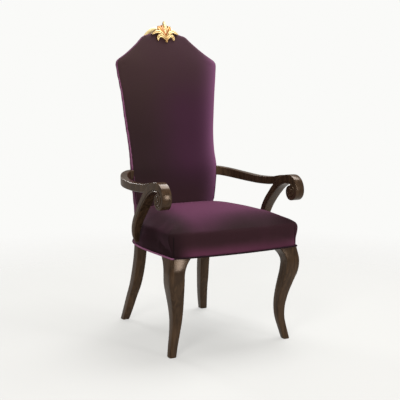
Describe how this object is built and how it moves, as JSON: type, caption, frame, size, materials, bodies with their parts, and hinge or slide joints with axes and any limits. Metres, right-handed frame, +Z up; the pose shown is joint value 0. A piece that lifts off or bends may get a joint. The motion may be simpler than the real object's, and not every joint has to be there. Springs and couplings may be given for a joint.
{
  "type": "upholstered throne armchair",
  "caption": "High-backed throne armchair in aubergine velvet with dark carved legs, scrolled arms and a gilded leaf ornament over its back.",
  "frame": {"origin": "on the floor, under the middle of the whole box", "axes": "+Z up, the throne faces -Y, +X is the sitter's left"},
  "size_m": [0.6, 0.647, 1.2375],
  "materials": {
    "wood": "dark stain under satin lacquer",
    "velvet": "aubergine velvet pile",
    "welt": "velvet-covered cord",
    "gilding": "gilded, warm and bright",
    "lining": "plain woven dust cover"
  },
  "bodies": {
    "root": {"front_leg_left": "wood", "rear_leg_left": "wood", "arm_support_left": "wood", "arm_rail_left": "wood", "front_leg_right": "wood", "rear_leg_right": "wood", "arm_support_right": "wood", "arm_rail_right": "wood", "seat_cushion": "velvet", "seat_welt": "welt", "seat_lining": "lining", "back_pad": "velvet", "back_welt": "welt", "crest_ornament": "gilding"}
  },
  "joints": []
}
